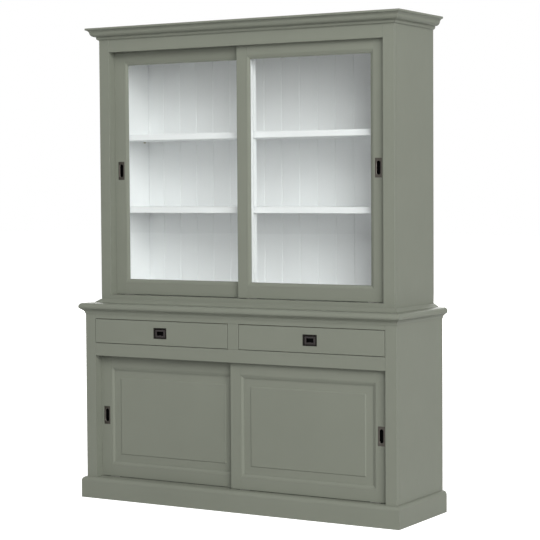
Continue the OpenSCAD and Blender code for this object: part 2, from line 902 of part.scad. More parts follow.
// The bottom strip is a rail here, which stands on the worktop behind the sill
module upper_door_tracks() {
    tracks(hutch_in_x, hutch_in_y0, worktop_h, sill_z, glass_head_z,
           glass_head_z + head_h);
}

module cornice() {
    color(paint) wrap(hutch_x, hutch_y, back_y, cornice_proj, cornice_h, cornice_z)
        cornice_outline();
}

module hutch_foot_moulding() {
    color(paint) wrap(hutch_x, hutch_y, back_y, foot_mould_proj, foot_mould_h, worktop_h)
        foot_mould_outline();
}

module locating_dowels() {
    color(timber) dowel_places() translate([0, 0, -dowel_reach])
        cylinder(d = dowel_d, h = 2 * dowel_reach);
}

// Doors. Each is drawn with its outer edge at X = 0 and its face at Y = 0.
// The left doors stand in the rear track and the right ones, mirrored, in front.

module hang_glass(side) {
    if (side == "left")
        translate([door_end_gap - hutch_open_x, hutch_y + rear_run, 0]) children();
    else
        mirror([1, 0, 0])
            translate([door_end_gap - hutch_open_x, hutch_y + front_run, 0]) children();
}

module hang_panel(side) {
    if (side == "left")
        translate([door_end_gap - base_open_x, base_y + rear_run, 0]) children();
    else
        mirror([1, 0, 0])
            translate([door_end_gap - base_open_x, base_y + front_run, 0]) children();
}

// The space inside a door's frame, with its lower outer corner at the origin
function inner_w(w) = w - outer_stile_w - meeting_stile_w;

// A tenon or its mortise, both ends of one rail, grown by a gap
module tenons(w, z0, z1, grow) {
    for (x = [outer_stile_w - tenon_l, w - meeting_stile_w])
        board(
            [x - grow, (door_t - tenon_t) / 2 - grow, z0 + tenon_inset - grow],
            [x + tenon_l + grow, (door_t + tenon_t) / 2 + grow, z1 - tenon_inset + grow]
        );
}

// The room that a panel's tongue needs all round
module panel_groove(w, z0, z1) {
    board(
        [outer_stile_w - panel_groove_d, bead_d, z0 - panel_groove_d],
        [w - meeting_stile_w + panel_groove_d,
         bead_d + panel_tongue_t + 2 * joint_gap, z1 + panel_groove_d]
    );
}

module door_stiles(w, z0, z1, top_w, pull, grooved) {
    color(paint) difference() {
        union() {
            board([0, 0, z0], [outer_stile_w, door_t, z1]);
            board([w - meeting_stile_w, 0, z0], [w, door_t, z1]);
        }
        tenons(w, z0, z0 + bottom_rail_w, joint_gap);
        tenons(w, z1 - top_w, z1, joint_gap);
        if (grooved) panel_groove(w, z0 + bottom_rail_w, z1 - top_w);
        translate([pull[0], 0, pull[1]]) pull_pocket();
    }
}

module door_rails(w, z0, z1, top_w, grooved) {
    color(paint) difference() {
        for (z = [[z0, z0 + bottom_rail_w], [z1 - top_w, z1]]) {
            board([outer_stile_w, 0, z[0]], [w - meeting_stile_w, door_t, z[1]]);
            tenons(w, z[0], z[1], 0);
        }
        if (grooved) panel_groove(w, z0 + bottom_rail_w, z1 - top_w);
    }
}

module door_bead(w, z0, z1, top_w) {
    translate([outer_stile_w, 0, z0 + bottom_rail_w])
        mitred(inner_w(w), z1 - top_w - z0 - bottom_rail_w, bead_w, door_t) children();
}

module door_glass(w, z0, z1, top_w) {
    color(glass_tint) board(
        [outer_stile_w + glass_play, bead_d, z0 + bottom_rail_w + glass_play],
        [w - meeting_stile_w - glass_play, bead_d + glass_t, z1 - top_w - glass_play]
    );
}

// A raised panel: a tongue all round, a sloping border and a flat field
module raised_outline(length) {
    tongue = panel_groove_d - panel_play;
    front = bead_d + joint_gap;
    back = front + panel_tongue_t;
    slope0 = bead_w;
    slope1 = bead_w + panel_bevel_w;
    field = slope1 + panel_step_w;
    step_y = panel_field_set + panel_step;
    polygon([
        [-tongue, back], [-tongue, front], [slope0, front], [slope1, step_y],
        [field, panel_field_set], [length - field, panel_field_set],
        [length - slope1, step_y], [length - slope0, front],
        [length + tongue, front], [length + tongue, back]
    ]);
}

module door_panel(w, z0, z1, top_w) {
    inner_h = z1 - top_w - z0 - bottom_rail_w;
    reach = panel_groove_d;
    color(paint) translate([outer_stile_w, 0, z0 + bottom_rail_w]) intersection() {
        translate([0, 0, -reach])
            linear_extrude(inner_h + 2 * reach) raised_outline(inner_w(w));
        translate([-reach, 0, 0])
            along_x(inner_w(w) + 2 * reach) raised_outline(inner_h);
    }
}

// Two glides in the bottom groove and two in the head groove
module door_glides(w, z0, z1) {
    width = groove_w - glide_play;
    foot = z0 - door_foot_gap - groove_d + rest_gap;
    tip = z1 + door_head_gap + groove_d;
    color(nylon) for (x = [glide_inset, w - glide_inset - glide_l]) {
        board([x, (door_t - width) / 2, foot], [x + glide_l, (door_t + width) / 2, z0]);
        board([x, (door_t - width) / 2, z1], [x + glide_l, (door_t + width) / 2, tip]);
    }
}

// A let-in plate with an oblong cup behind it
module door_pull_body(grow) {
    into_door(pull_plate_t + grow) rounded(
        pull_plate_w + 2 * grow, pull_plate_h + 2 * grow, pull_plate_r + grow
    );
    cup_w = pull_recess_w + 2 * cup_wall + 2 * grow;
    cup_h = pull_recess_h + 2 * cup_wall + 2 * grow;
    into_door(pull_recess_d + cup_wall + grow) rounded(cup_w, cup_h, cup_w / 2 - eps);
}

module pull_pocket() {
    translate([0, -eps, 0]) door_pull_body(joint_gap);
}

module door_pull() {
    end_r = pull_recess_w / 2;
    end_z = pull_recess_h / 2 - end_r;
    color(bronze) difference() {
        door_pull_body(0);
        translate([0, -eps, 0]) into_door(pull_recess_d + eps)
            rounded(pull_recess_w, pull_recess_h, end_r - eps);
        // Chamfer round the recess: two cones, and a wedge between them
        translate([0, 0, -end_z]) linear_extrude(2 * end_z) polygon([
            [-end_r - pull_lip - eps, -eps], [end_r + pull_lip + eps, -eps],
            [end_r, pull_plate_t], [-end_r, pull_plate_t]
        ]);
        for (z = [-end_z, end_z]) translate([0, pull_plate_t, z]) rotate([90, 0, 0])
            cylinder(r1 = end_r, r2 = end_r + pull_lip, h = pull_plate_t + eps);
    }
}

// Glass doors

module glass_stiles(side) {
    hang_glass(side) door_stiles(
        glass_door_w, glass_door_z0, glass_door_z1, glass_top_rail_w,
        [glass_pull_inset, glass_pull_z], false
    );
}

module glass_rails(side) {
    hang_glass(side)
        door_rails(glass_door_w, glass_door_z0, glass_door_z1, glass_top_rail_w, false);
}

module glass_pane(side) {
    hang_glass(side)
        door_glass(glass_door_w, glass_door_z0, glass_door_z1, glass_top_rail_w);
}

module glass_beads(side) {
    color(paint) hang_glass(side) {
        door_bead(glass_door_w, glass_door_z0, glass_door_z1, glass_top_rail_w)
            bead_outline();
        door_bead(glass_door_w, glass_door_z0, glass_door_z1, glass_top_rail_w)
            rear_bead_outline();
    }
}

module glass_pull(side) {
    hang_glass(side) translate([glass_pull_inset, 0, glass_pull_z]) door_pull();
}

module glass_glides(side) {
    hang_glass(side) door_glides(glass_door_w, glass_door_z0, glass_door_z1);
}

module upper_left_door_stiles() { glass_stiles("left"); }
module upper_left_door_rails() { glass_rails("left"); }
module upper_left_door_glass() { glass_pane("left"); }
module upper_left_door_beads() { glass_beads("left"); }
module upper_left_door_pull() { glass_pull("left"); }
module upper_left_door_glides() { glass_glides("left"); }
module upper_right_door_stiles() { glass_stiles("right"); }
module upper_right_door_rails() { glass_rails("right"); }
module upper_right_door_glass() { glass_pane("right"); }
module upper_right_door_beads() { glass_beads("right"); }
module upper_right_door_pull() { glass_pull("right"); }
module upper_right_door_glides() { glass_glides("right"); }

// Panel doors

module panel_stiles(side) {
    hang_panel(side) door_stiles(
        panel_door_w, panel_door_z0, panel_door_z1, panel_top_rail_w,
        [panel_pull_inset, panel_pull_z], true
    );
}

module panel_rails(side) {
    hang_panel(side)
        door_rails(panel_door_w, panel_door_z0, panel_door_z1, panel_top_rail_w, true);
}

module panel_board(side) {
    hang_panel(side)
        door_panel(panel_door_w, panel_door_z0, panel_door_z1, panel_top_rail_w);
}

module panel_moulding(side) {
    color(paint) hang_panel(side)
        door_bead(panel_door_w, panel_door_z0, panel_door_z1, panel_top_rail_w)
            bead_outline();
}

module panel_pull(side) {
    hang_panel(side) translate([panel_pull_inset, 0, panel_pull_z]) door_pull();
}

module panel_glides(side) {
    hang_panel(side) door_glides(panel_door_w, panel_door_z0, panel_door_z1);
}

module lower_left_door_stiles() { panel_stiles("left"); }
module lower_left_door_rails() { panel_rails("left"); }
module lower_left_door_panel() { panel_board("left"); }
module lower_left_door_moulding() { panel_moulding("left"); }
module lower_left_door_pull() { panel_pull("left"); }
module lower_left_door_glides() { panel_glides("left"); }
module lower_right_door_stiles() { panel_stiles("right"); }
module lower_right_door_rails() { panel_rails("right"); }
module lower_right_door_panel() { panel_board("right"); }
module lower_right_door_moulding() { panel_moulding("right"); }
module lower_right_door_pull() { panel_pull("right"); }
module lower_right_door_glides() { panel_glides("right"); }

// Drawers. Each is drawn with its outer edge at X = 0 and its face at Y = 0.

module place_drawer(side) {
    mirror([side == "left" ? 0 : 1, 0, 0])
        translate([drawer_gap - base_open_x, base_y, 0]) children();
}

// The drawer's two sides, between given depths, grown by a gap
module drawer_sides(y0, y1, grow) {
    for (x = [-box_inset, drawer_w + box_inset - drawer_side_t])
        board([x - grow, y0, drawer_box_z0 - grow],
              [x + drawer_side_t + grow, y1, drawer_box_z0 + drawer_side_h + grow]);
}

module drawer_bottom_board(grow) {
    let_in = drawer_housing_d - drawer_bottom_play;
    z = drawer_box_z0 + drawer_bottom_rise;
    x = drawer_side_t - box_inset - let_in;
    board([x - grow, drawer_front_t - let_in - grow, z - grow],
          [drawer_w - x + grow, drawer_end_y + grow, z + drawer_bottom_t + grow]);
}

module drawer_front(side) {
    color(paint) place_drawer(side) difference() {
        board([0, 0, drawer_front_z0],
              [drawer_w, drawer_front_t, drawer_front_z0 + drawer_front_h]);
        drawer_sides(drawer_front_t - drawer_housing_d, drawer_front_t + eps, joint_gap);
        drawer_bottom_board(joint_gap);
        ring_place() ring_cup(joint_gap);
    }
}

module drawer_box(side) {
    in_x = drawer_side_t - box_inset + seam;
    back_z = drawer_box_z0 + drawer_bottom_rise + drawer_bottom_t + seam;
    color(timber) place_drawer(side) {
        difference() {
            drawer_sides(drawer_front_t - drawer_housing_d, drawer_end_y, 0);
            drawer_bottom_board(joint_gap);
        }
        board([in_x, drawer_end_y - drawer_side_t, back_z],
              [drawer_w - in_x, drawer_end_y, drawer_box_z0 + drawer_side_h]);
        drawer_bottom_board(0);
    }
}

// The middle of a drawer pull, on the drawer's face
module ring_place() {
    translate([drawer_w / 2, 0, drawer_front_z0 + drawer_front_h / 2]) children();
}

// The cup that goes into the drawer's front
module ring_cup(grow) {
    wall = cup_wall + grow;
    translate([0, -eps, 0]) into_door(ring_recess_d + wall + eps)
        square([ring_recess_w + 2 * wall, ring_recess_h + 2 * wall], center = true);
}

module ring_pins(d, reach) {
    translate([-reach, ring_y, ring_z]) rotate([0, 90, 0])
        cylinder(d = d, h = 2 * reach);
}

module drawer_pull_plate(side) {
    color(bronze) place_drawer(side) ring_place() difference() {
        union() {
            translate([0, -pull_plate_t, 0]) into_door(pull_plate_t)
                rounded(ring_plate_w, ring_plate_h, ring_plate_r);
            ring_cup(0);
        }
        translate([0, -pull_plate_t - eps, 0])
            into_door(ring_recess_d + pull_plate_t + eps)
                square([ring_recess_w, ring_recess_h], center = true);
        ring_pins(ring_pin_d + 2 * pin_gap, ring_recess_w / 2 + cup_wall + eps);
    }
}

// A flat ring that hangs in the cup and swings out about its upper bar. Its
// lower bar swells upward in the middle, and its pivots end inside the cup's wall.
module drawer_ring(side) {
    pin_root = 1;
    pin_end = ring_recess_w / 2 + cup_wall - joint_gap;
    color(bronze) place_drawer(side) ring_place() {
        translate([0, ring_set, ring_mid_z]) into_door(ring_t) {
            difference() {
                rounded(ring_w, ring_h, ring_outer_r);
                rounded(ring_w - 2 * ring_side, ring_h - 2 * ring_bar, ring_inner_r);
            }
            intersection() {
                translate([0, ring_swell - ring_h / 2]) circle(ring_bar);
                square([ring_w, ring_h], center = true);
            }
        }
        both_sides() translate([ring_w / 2 - pin_root, ring_y, ring_z]) rotate([0, 90, 0])
            cylinder(d = ring_pin_d, h = pin_end - ring_w / 2 + pin_root);
    }
}

module left_drawer_front() { drawer_front("left"); }
module left_drawer_box() { drawer_box("left"); }
module left_drawer_pull_plate() { drawer_pull_plate("left"); }
module left_drawer_ring() { drawer_ring("left"); }
module right_drawer_front() { drawer_front("right"); }
module right_drawer_box() { drawer_box("right"); }
module right_drawer_pull_plate() { drawer_pull_plate("right"); }
module right_drawer_ring() { drawer_ring("right"); }

base_side_left();
base_side_right();
base_bottom();
base_back();
base_face_frame();
base_partition();
base_dust_board();
drawer_guides();
base_shelf();
lower_door_tracks();
plinth();
worktop();
bed_moulding();
hutch_side_left();
hutch_side_right();
hutch_top();
hutch_bottom();
hutch_back_boards();
hutch_face_frame();
hutch_shelf_lower();
hutch_shelf_upper();
centre_posts();
shelf_supports();
upper_door_tracks();
cornice();
hutch_foot_moulding();
locating_dowels();
upper_left_door_stiles();
upper_left_door_rails();
upper_left_door_glass();
upper_left_door_beads();
upper_left_door_pull();
upper_left_door_glides();
upper_right_door_stiles();
upper_right_door_rails();
upper_right_door_glass();
upper_right_door_beads();
upper_right_door_pull();
upper_right_door_glides();
lower_left_door_stiles();
lower_left_door_rails();
lower_left_door_panel();
lower_left_door_moulding();
lower_left_door_pull();
lower_left_door_glides();
lower_right_door_stiles();
lower_right_door_rails();
lower_right_door_panel();
lower_right_door_moulding();
lower_right_door_pull();
lower_right_door_glides();
left_drawer_front();
left_drawer_box();
left_drawer_pull_plate();
left_drawer_ring();
right_drawer_front();
right_drawer_box();
right_drawer_pull_plate();
right_drawer_ring();
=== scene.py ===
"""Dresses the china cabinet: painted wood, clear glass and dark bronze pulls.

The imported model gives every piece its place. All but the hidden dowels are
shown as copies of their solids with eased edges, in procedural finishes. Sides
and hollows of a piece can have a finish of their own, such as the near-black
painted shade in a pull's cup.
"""

import json
import logging
import math
from abc import ABC, abstractmethod
from collections.abc import Callable
from dataclasses import dataclass, field
from enum import Enum
from typing import Protocol

import bmesh
import bpy
from mathutils import Matrix, Vector


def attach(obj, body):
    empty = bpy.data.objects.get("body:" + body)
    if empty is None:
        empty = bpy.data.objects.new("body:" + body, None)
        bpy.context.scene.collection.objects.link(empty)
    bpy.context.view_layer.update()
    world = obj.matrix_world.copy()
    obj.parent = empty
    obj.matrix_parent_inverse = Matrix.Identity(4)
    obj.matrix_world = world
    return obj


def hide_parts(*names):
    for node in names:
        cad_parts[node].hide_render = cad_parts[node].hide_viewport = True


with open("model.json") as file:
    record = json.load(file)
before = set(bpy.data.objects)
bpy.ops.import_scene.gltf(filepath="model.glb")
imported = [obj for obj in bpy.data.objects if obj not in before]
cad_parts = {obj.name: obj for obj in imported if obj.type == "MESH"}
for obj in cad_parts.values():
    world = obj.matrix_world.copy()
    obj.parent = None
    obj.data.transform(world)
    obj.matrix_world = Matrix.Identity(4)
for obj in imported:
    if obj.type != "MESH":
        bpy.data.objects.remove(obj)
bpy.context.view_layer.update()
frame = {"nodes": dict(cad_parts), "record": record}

logging.basicConfig(level=logging.INFO, format="%(message)s")
LOG = logging.getLogger("cabinet")

Colour = tuple[float, float, float]
Socket = bpy.types.NodeSocket
Shaded = bpy.types.Material | bpy.types.World
Chooser = Callable[[Vector, Vector], bool]

MM = 0.001
# Points closer than this are one point, and faces within this angle are one face
WELD_DISTANCE = 0.004 * MM
FLAT_ANGLE = math.radians(0.4)
# Weight of large faces over small ones in the shading, where 50 is neutral
FLAT_WEIGHT = 100
# Least cosine between a face's normal and the axis that it looks along
FACING_COSINE = 0.8
# Sockets of Blender's Mix node when it mixes colours
MIX_FACTOR, MIX_FIRST, MIX_SECOND, MIX_RESULT = 0, 6, 7, 2
# Strength of each finer octave of the noise
NOISE_ROUGHNESS = 0.55
# Bands per metre that the wave texture draws at a scale of 1
BANDS_AT_SCALE_ONE = 20.0
PAINT_AND_TIMBER_INDEX = 1.5
GLASS_INDEX = 1.45

GREY_GREEN: Colour = (0.218, 0.232, 0.190)
WHITE: Colour = (0.832, 0.846, 0.849)


class Grain(Enum):
    """The way that a board's fibres and its brush strokes run.

    The value is the factor on X, Y and Z that draws a pattern out that way.
    """

    ALONG_X = (0.06, 1.0, 1.0)
    ALONG_Y = (1.0, 0.06, 1.0)
    ALONG_Z = (1.0, 1.0, 0.06)


class Axis(Enum):
    """A direction of the cabinet's frame."""

    LEFT = (-1.0, 0.0, 0.0)
    RIGHT = (1.0, 0.0, 0.0)
    FRONT = (0.0, -1.0, 0.0)
    BACK = (0.0, 1.0, 0.0)
    UP = (0.0, 0.0, 1.0)


@dataclass(frozen=True)
class Waves:
    """A noise pattern, by its waves per metre and its number of finer octaves."""

    scale: float
    detail: float


@dataclass(frozen=True)
class Span:
    """A range of results, low to high, for values that run from start to end."""

    low: float
    high: float
    start: float = 0.3
    end: float = 0.7


FULL_SPAN = Span(0.0, 1.0)


def tinted(colour: Colour, factor: float) -> Colour:
    """Make a colour lighter or darker.

    Args:
        colour: Linear red, green and blue.
        factor: Above 1 for lighter.

    Returns:
        The new colour.
    """
    return tuple(channel * factor for channel in colour)


class NodeChain:
    """Adds shader nodes to one material or world and wires them up."""

    def __init__(self, owner: Shaded, output: str) -> None:
        """Clear the owner's nodes down to a fresh output.

        Args:
            owner: The material or world.
            output: Blender's name for its output node.
        """
        owner.use_nodes = True
        self.owner = owner
        self.tree = owner.node_tree
        self.tree.nodes.clear()
        self.output = self.tree.nodes.new(output)

    @classmethod
    def for_material(cls, name: str) -> "NodeChain":
        """Start a new material with a name."""
        return cls(bpy.data.materials.new(name), "ShaderNodeOutputMaterial")

    @classmethod
    def for_world(cls, name: str) -> "NodeChain":
        """Start a new world with a name."""
        return cls(bpy.data.worlds.new(name), "ShaderNodeOutputWorld")

    def feed(self, socket: Socket, value: object) -> None:
        """Wire an input to another node's output, or set its value.

        Args:
            socket: The input.
            value: An output socket, or a plain value.
        """
        if isinstance(value, bpy.types.NodeSocket):
            self.tree.links.new(value, socket)
        else:
            socket.default_value = value

    def add(self, kind: str, **inputs: object) -> bpy.types.Node:
        """Add a node and feed its inputs.

        Args:
            kind: Blender's name for the node type.
            **inputs: Input sockets by name, with underscores for spaces.

        Returns:
            The new node.
        """
        node = self.tree.nodes.new(kind)
        for key, value in inputs.items():
            self.feed(node.inputs[key.replace("_", " ")], value)
        return node

    def join(self, kind: str, operation: str, first: Socket,
             second: Socket | float) -> bpy.types.Node:
        """Add a node that works on two values.

        Args:
            kind: Blender's name for the node type.
            operation: Blender's name for what it does.
            first: The first value.
            second: The second value.

        Returns:
            The new node.
        """
        node = self.tree.nodes.new(kind)
        node.operation = operation
        self.feed(node.inputs[0], first)
        self.feed(node.inputs[1], second)
        return node

    def work_out(self, operation: str, first: Socket, second: Socket | float) -> Socket:
        """Work out one number from two.

        Args:
            operation: Blender's name for what is done, such as MULTIPLY.
            first: The first number.
            second: The second number.

        Returns:
            The result.
        """
        return self.join("ShaderNodeMath", operation, first, second).outputs["Value"]

    def place(self) -> Socket:
        """Give the position on the object, in metres."""
        return self.add("ShaderNodeTexCoord").outputs["Object"]

    def stretched(self, scale: tuple[float, float, float]) -> Socket:
        """Give the position, stretched along each axis.

        Args:
            scale: Factor along X, Y and Z.

        Returns:
            The stretched position.
        """
        mapping = self.add("ShaderNodeMapping", Vector=self.place(), Scale=scale)
        return mapping.outputs["Vector"]

    def noise(self, vector: Socket, waves: Waves) -> Socket:
        """Give a noise value.

        Args:
            vector: Where it is read.
            waves: The pattern.

        Returns:
            The noise, about 0.5 on average.
        """
        texture = self.add("ShaderNodeTexNoise", Vector=vector, Scale=waves.scale,
                           Detail=waves.detail, Roughness=NOISE_ROUGHNESS)
        return texture.outputs["Fac"]

    def spread(self, value: Socket, span: Span) -> Socket:
        """Map a value from one range to another.

        Args:
            value: The value to map.
            span: Both ranges.

        Returns:
            The mapped value.
        """
        node = self.add("ShaderNodeMapRange", Value=value, From_Min=span.start,
                        From_Max=span.end, To_Min=span.low, To_Max=span.high)
        return node.outputs["Result"]

    def blend(self, factor: Socket, first: Colour, second: Colour) -> Socket:
        """Mix two colours.

        Args:
            factor: 0 for the first colour, 1 for the second.
            first: Linear red, green and blue.
            second: Linear red, green and blue.

        Returns:
            The mixed colour.
        """
        node = self.tree.nodes.new("ShaderNodeMix")
        node.data_type = "RGBA"
        self.feed(node.inputs[MIX_FACTOR], factor)
        self.feed(node.inputs[MIX_FIRST], (*first, 1.0))
        self.feed(node.inputs[MIX_SECOND], (*second, 1.0))
        return node.outputs[MIX_RESULT]

    def mottled(self, cloud: Socket, colour: Colour, darker: float,
                lighter: float) -> Socket:
        """Vary a colour from place to place.

        Args:
            cloud: The noise that it varies with.
            colour: Linear red, green and blue.
            darker: Factor on the colour where the noise is low.
            lighter: Factor on the colour where the noise is high.

        Returns:
            The varied colour.
        """
        return self.blend(self.spread(cloud, FULL_SPAN), tinted(colour, darker),
                          tinted(colour, lighter))

    def bump(self, height: Socket, depth: float, under: Socket | None = None) -> Socket:
        """Turn a height into a tilted normal.

        Args:
            height: The height, from 0 to 1.
            depth: What a height of 1 means, in metres.
            under: A normal that this one is laid over.

        Returns:
            The normal.
        """
        node = self.add("ShaderNodeBump", Height=height, Distance=depth, Strength=1.0)
        if under is not None:
            self.feed(node.inputs["Normal"], under)
        return node.outputs["Normal"]

    def straight_view(self) -> Socket:
        """Mark what the camera sees directly, in a mirror or through glass.

        Light that has bounced off a matt surface first isn't marked, so a
        backdrop shows at full white and adds no light to the cabinet.

        Returns:
            1 for a view of the camera's and 0 for light on its way.
        """
        path = self.add("ShaderNodeLightPath")
        seen = path.outputs["Is Camera Ray"]
        for ray in ("Is Glossy Ray", "Is Transmission Ray"):
            seen = self.work_out("MAXIMUM", seen, path.outputs[ray])
        unscattered = self.work_out("LESS_THAN", path.outputs["Diffuse Depth"], 0.5)
        return self.work_out("MULTIPLY", seen, unscattered)

    def close(self, shader: bpy.types.Node) -> Shaded:
        """Wire the last shader to the output.

        Args:
            shader: The node whose first output is the surface.

        Returns:
            The finished material or world.
        """
        self.feed(self.output.inputs["Surface"], shader.outputs[0])
        return self.owner


class Finish(Protocol):
    """What the book asks of a finish."""

    @property
    def name(self) -> str:
        """The material's name."""

    def material(self) -> bpy.types.Material:
        """Build the material."""


@dataclass(frozen=True)
class PaintFinish:
    """Sprayed and rubbed matt paint on wood, with the fibres just showing."""

    name: str
    colour: Colour
    grain: Grain
    roughness: Span = Span(0.45, 0.56)
    sheen: float = 0.12
    mottle: float = 0.02
    cloud: Waves = Waves(3.5, 3.0)
    fibres: Waves = Waves(260.0, 4.0)
    fibre_depth: float = 0.03 * MM
    peel: Waves = Waves(900.0, 2.0)
    peel_depth: float = 0.02 * MM

    def material(self) -> bpy.types.Material:
        """Build the paint's shader.

        Returns:
            The material.
        """
        chain = NodeChain.for_material(self.name)
        place = chain.place()
        cloud = chain.noise(place, self.cloud)
        fibres = chain.noise(chain.stretched(self.grain.value), self.fibres)
        peel = chain.noise(place, self.peel)
        raised_fibres = chain.bump(fibres, self.fibre_depth)
        return chain.close(chain.add(
            "ShaderNodeBsdfPrincipled", IOR=PAINT_AND_TIMBER_INDEX,
            Base_Color=chain.mottled(cloud, self.colour, 1.0 - self.mottle,
                                     1.0 + self.mottle),
            Normal=chain.bump(peel, self.peel_depth, raised_fibres),
            Roughness=chain.spread(fibres, self.roughness),
            Specular_IOR_Level=self.sheen,
        ))


@dataclass(frozen=True)
class TimberFinish:
    """Bare planed softwood, with early and late wood and a few darker streaks."""

    name: str
    grain: Grain
    early: Colour = (0.62, 0.44, 0.25)
    late: Colour = (0.50, 0.32, 0.155)
    ring_width: float = 6.0 * MM
    ring_bend: float = 5.0
    ring_waver: Waves = Waves(1.4, 2.0)
    late_share: Span = Span(0.0, 0.8, 0.2, 1.0)
    fibres: Waves = Waves(420.0, 4.0)
    fibre_shade: Span = Span(0.86, 1.06)
    fibre_depth: float = 0.05 * MM
    wander: Waves = Waves(9.0, 3.0)
    roughness: Span = Span(0.55, 0.7)

    def material(self) -> bpy.types.Material:
        """Build the timber's shader.

        Returns:
            The material.
        """
        chain = NodeChain.for_material(self.name)
        along = chain.stretched(self.grain.value)
        wander = chain.noise(along, self.wander)
        rings = chain.add(
            "ShaderNodeTexWave", Vector=along, Distortion=self.ring_bend,
            Scale=1.0 / (self.ring_width * BANDS_AT_SCALE_ONE),
            Detail=self.ring_waver.detail, Detail_Scale=self.ring_waver.scale,
        )
        rings.bands_direction = "DIAGONAL"
        fibres = chain.noise(along, self.fibres)
        late = chain.spread(rings.outputs["Fac"], self.late_share)
        toned = chain.add("ShaderNodeVectorMath",
                          Vector=chain.blend(late, self.early, self.late))
        toned.operation = "SCALE"
        chain.feed(toned.inputs["Scale"], chain.spread(fibres, self.fibre_shade))
        return chain.close(chain.add(
            "ShaderNodeBsdfPrincipled", IOR=PAINT_AND_TIMBER_INDEX,
            Base_Color=toned.outputs["Vector"],
            Normal=chain.bump(fibres, self.fibre_depth),
            Roughness=chain.spread(wander, self.roughness),
        ))


@dataclass(frozen=True)
class BronzeFinish:
    """Cast metal under a dark oiled patina, rubbed bright along its edges."""

    name: str
    dark: Colour
    rubbed: Colour
    metallic: float = 0.85
    sheen: float = 0.5
    edge_width: float = 0.9 * MM
    edge_share: Span = Span(1.0, 0.0, 0.75, 0.995)
    wear: Span = Span(0.2, 1.0)
    cloud: Waves = Waves(90.0, 3.0)
    roughness: Span = Span(0.34, 0.5)
    cast: Waves = Waves(700.0, 3.0)
    cast_depth: float = 0.04 * MM

    def material(self) -> bpy.types.Material:
        """Build the metal's shader.

        Returns:
            The material.
        """
        chain = NodeChain.for_material(self.name)
        place = chain.place()
        cast = chain.noise(place, self.cast)
        cloud = chain.noise(place, self.cloud)
        rounded = chain.add("ShaderNodeBevel", Radius=self.edge_width)
        true = chain.add("ShaderNodeNewGeometry")
        flatness = chain.join("ShaderNodeVectorMath", "DOT_PRODUCT",
                              rounded.outputs["Normal"], true.outputs["Normal"])
        edge = chain.spread(flatness.outputs["Value"], self.edge_share)
        worn = chain.work_out("MULTIPLY", edge, chain.spread(cloud, self.wear))
        return chain.close(chain.add(
            "ShaderNodeBsdfPrincipled", Metallic=self.metallic,
            Base_Color=chain.blend(worn, self.dark, self.rubbed),
            Normal=chain.bump(cast, self.cast_depth),
            Roughness=chain.spread(cloud, self.roughness),
            Specular_IOR_Level=self.sheen,
        ))


@dataclass(frozen=True)
class GlassFinish:
    """Clear float glass that lets the light of the room through to the shelves."""

    name: str
    tint: Colour = (0.985, 0.995, 0.99)
    ripple_stretch: tuple[float, float, float] = (1.0, 1.0, 0.35)
    ripple: Waves = Waves(4.0, 1.0)
    ripple_depth: float = 0.25 * MM

    def material(self) -> bpy.types.Material:
        """Build the glass's shader.

        Returns:
            The material.
        """
        chain = NodeChain.for_material(self.name)
        colour = (*self.tint, 1.0)
        ripple = chain.noise(chain.stretched(self.ripple_stretch), self.ripple)
        glass = chain.add(
            "ShaderNodeBsdfPrincipled", Base_Color=colour, Roughness=0.0,
            IOR=GLASS_INDEX, Normal=chain.bump(ripple, self.ripple_depth),
            Transmission_Weight=1.0,
        )
        clear = chain.add("ShaderNodeBsdfTransparent", Color=colour)
        path = chain.add("ShaderNodeLightPath")
        lighting = chain.work_out("MAXIMUM", path.outputs["Is Shadow Ray"],
                                path.outputs["Is Diffuse Ray"])
        mixed = chain.add("ShaderNodeMixShader", Fac=lighting)
        chain.feed(mixed.inputs[1], glass.outputs[0])
        chain.feed(mixed.inputs[2], clear.outputs[0])
        return chain.close(mixed)


@dataclass(frozen=True)
class PlainFinish:
    """Plain moulded or turned stock: nylon, or the brass of the shelf pins."""

    name: str
    colour: Colour
    metallic: float
    roughness: Span
    darker: float = 0.94
    lighter: float = 1.05
    cloud: Waves = Waves(160.0, 3.0)
    pits: Waves = Waves(1400.0, 2.0)
    pit_depth: float = 0.01 * MM

    def material(self) -> bpy.types.Material:
        """Build the stock's shader.

        Returns:
            The material.
        """
        chain = NodeChain.for_material(self.name)
        place = chain.place()
        cloud = chain.noise(place, self.cloud)
        return chain.close(chain.add(
            "ShaderNodeBsdfPrincipled", Metallic=self.metallic,
            Base_Color=chain.mottled(cloud, self.colour, self.darker, self.lighter),
            Normal=chain.bump(chain.noise(place, self.pits), self.pit_depth),
            Roughness=chain.spread(cloud, self.roughness),
        ))


